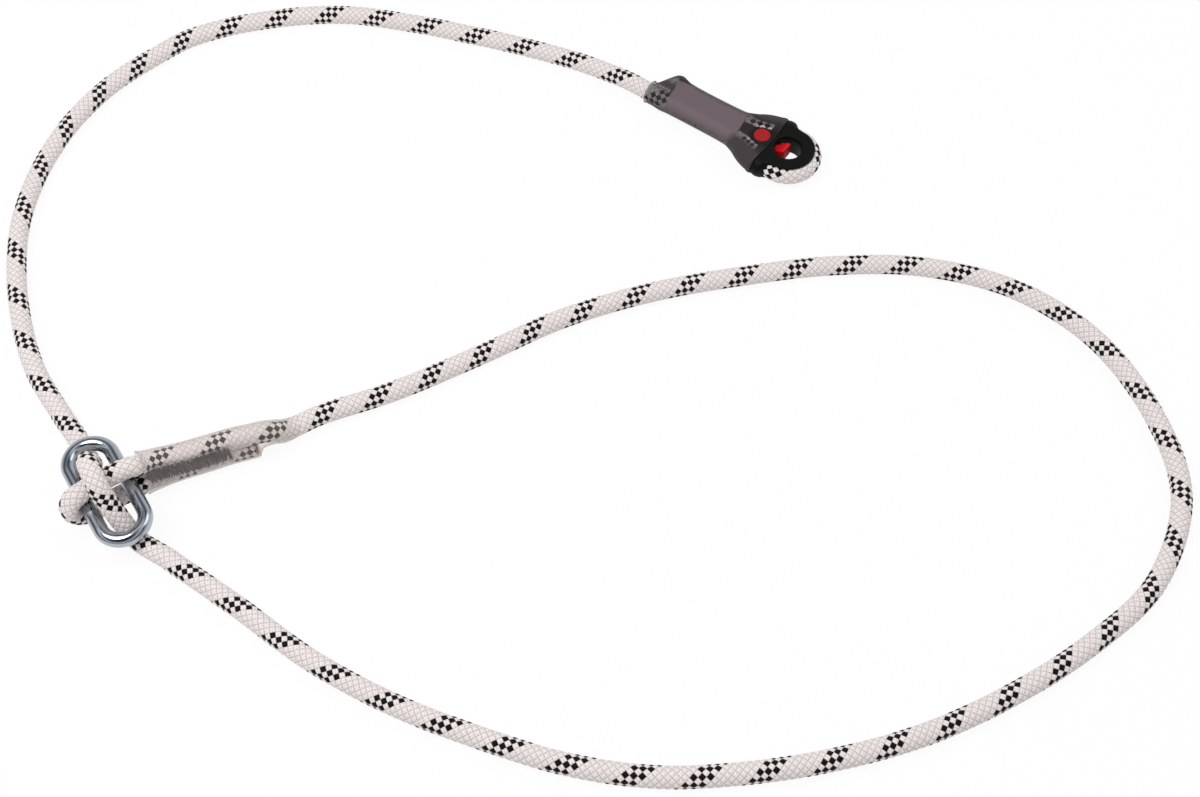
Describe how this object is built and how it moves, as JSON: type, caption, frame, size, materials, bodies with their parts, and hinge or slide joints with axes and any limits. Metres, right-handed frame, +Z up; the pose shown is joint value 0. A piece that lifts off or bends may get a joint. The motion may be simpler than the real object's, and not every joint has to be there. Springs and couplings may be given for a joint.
{
  "type": "adjustable rope lanyard",
  "caption": "Adjustable lanyard of braided rope: a sewn end with a thimble eye, and a loop that shortens or lengthens through a steel link sewn to its other end.",
  "frame": {"origin": "the point of the thimble's flat underside 11.5 mm from the centre of its eye, on the tip side of it, on the surface that the lanyard lies on", "axes": "+X to the right and +Y away in the picture, along the surface, +Z up from it"},
  "size_m": [0.6201, 0.4876, 0.0412],
  "materials": {
    "rope_sheath": "braided polyamide sheath, white with a black tracer",
    "black_moulding": "satin moulded plastic",
    "red_rubber": "moulded rubber, slight sheen",
    "grey_film": "see-through grey shrink film",
    "clear_film": "clear shrink film, frosted",
    "label_film": "thin label film, left bare",
    "seam_thread": "dark grey polyester thread",
    "zinc_plated_steel": "bright zinc plate"
  },
  "bodies": {
    "lanyard": {"rope_thimble_eye": "rope_sheath", "rope_lead": "rope_sheath", "rope_in_adjuster": "rope_sheath", "rope_loop": "rope_sheath", "rope_adjuster_eye": "rope_sheath", "thimble": "black_moulding", "keeper": "red_rubber", "thimble_sleeve": "grey_film", "thimble_label": "label_film", "thimble_needle_thread": "seam_thread", "thimble_bobbin_thread": "seam_thread", "adjuster_sleeve": "clear_film", "adjuster_needle_thread": "seam_thread", "adjuster_bobbin_thread": "seam_thread"},
    "link": {"steel_link": "zinc_plated_steel"}
  },
  "joints": [
    {"name": "link_rock", "type": "hinge", "parent": "lanyard", "child": "link", "pos_m": [-0.3583, -0.216, 0.0156], "axis": [0.848, 0.5299, 0], "range_deg": [-2, 2]}
  ]
}
